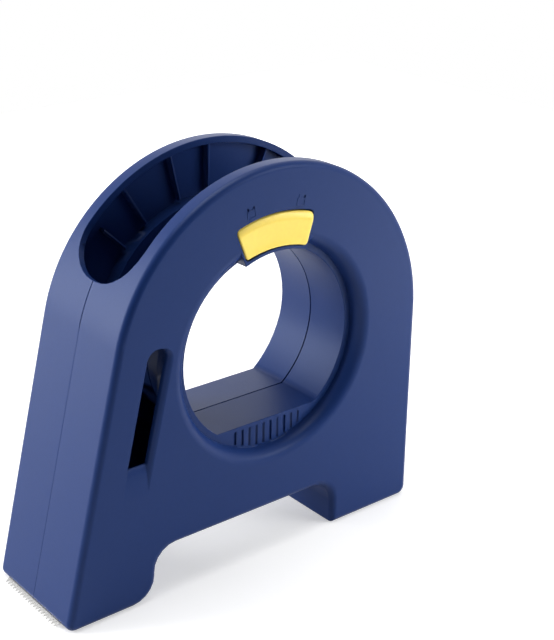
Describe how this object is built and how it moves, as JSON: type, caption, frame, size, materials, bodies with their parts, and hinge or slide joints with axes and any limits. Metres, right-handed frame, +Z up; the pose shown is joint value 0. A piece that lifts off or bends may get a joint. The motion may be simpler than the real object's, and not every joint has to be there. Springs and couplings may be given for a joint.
{
  "type": "masking tape applicator",
  "caption": "Hand-held masking tape applicator: a two-part case round a D-shaped hand hole and hub, with a roller feed, a toothed cutter at the nose and a rocker lock.",
  "frame": {"origin": "under the middle of the whole object's box, on the floor plane that both feet stand on", "axes": "+X from the nose to the rear, +Y from the side with the lock to the plain side, +Z up"},
  "size_m": [0.1522, 0.0482, 0.143],
  "materials": {
    "navy": "satin moulded plastic with a very fine grain",
    "yellow": "smooth moulded plastic",
    "black": "plain moulded plastic",
    "white": "plain moulded plastic",
    "steel": "bright strip and wire",
    "rubber": "soft, grooved"
  },
  "bodies": {
    "case": {"near_shell": "navy", "cutter_blade": "steel", "cutter_bar": "black", "bar_screw_lower": "steel", "bar_screw_upper": "steel", "guide_axle": "steel", "press_axle": "steel", "lock_pivot": "steel"},
    "cover": {"far_shell": "navy"},
    "lock": {"lock_rocker": "yellow", "lock_hook": "steel"},
    "guide": {"guide_roller": "white"},
    "press": {"press_roller": "white", "press_tyre": "rubber"}
  },
  "joints": [
    {"name": "cover_off", "type": "slide", "parent": "case", "child": "cover", "axis": [0, 1, 0], "range_m": [0, 0.045]},
    {"name": "lock_rock", "type": "hinge", "parent": "case", "child": "lock", "pos_m": [0.01106, -0.0183, 0.1152], "axis": [0, 0, 1], "range_deg": [0, 6.8]},
    {"name": "guide_spin", "type": "hinge", "parent": "case", "child": "guide", "pos_m": [-0.05075, 0.0009, 0.025], "axis": [0, 1, 0], "continuous": true},
    {"name": "press_spin", "type": "hinge", "parent": "case", "child": "press", "pos_m": [-0.05742, 0.0009, 0.0065], "axis": [0, 1, 0], "continuous": true}
  ]
}
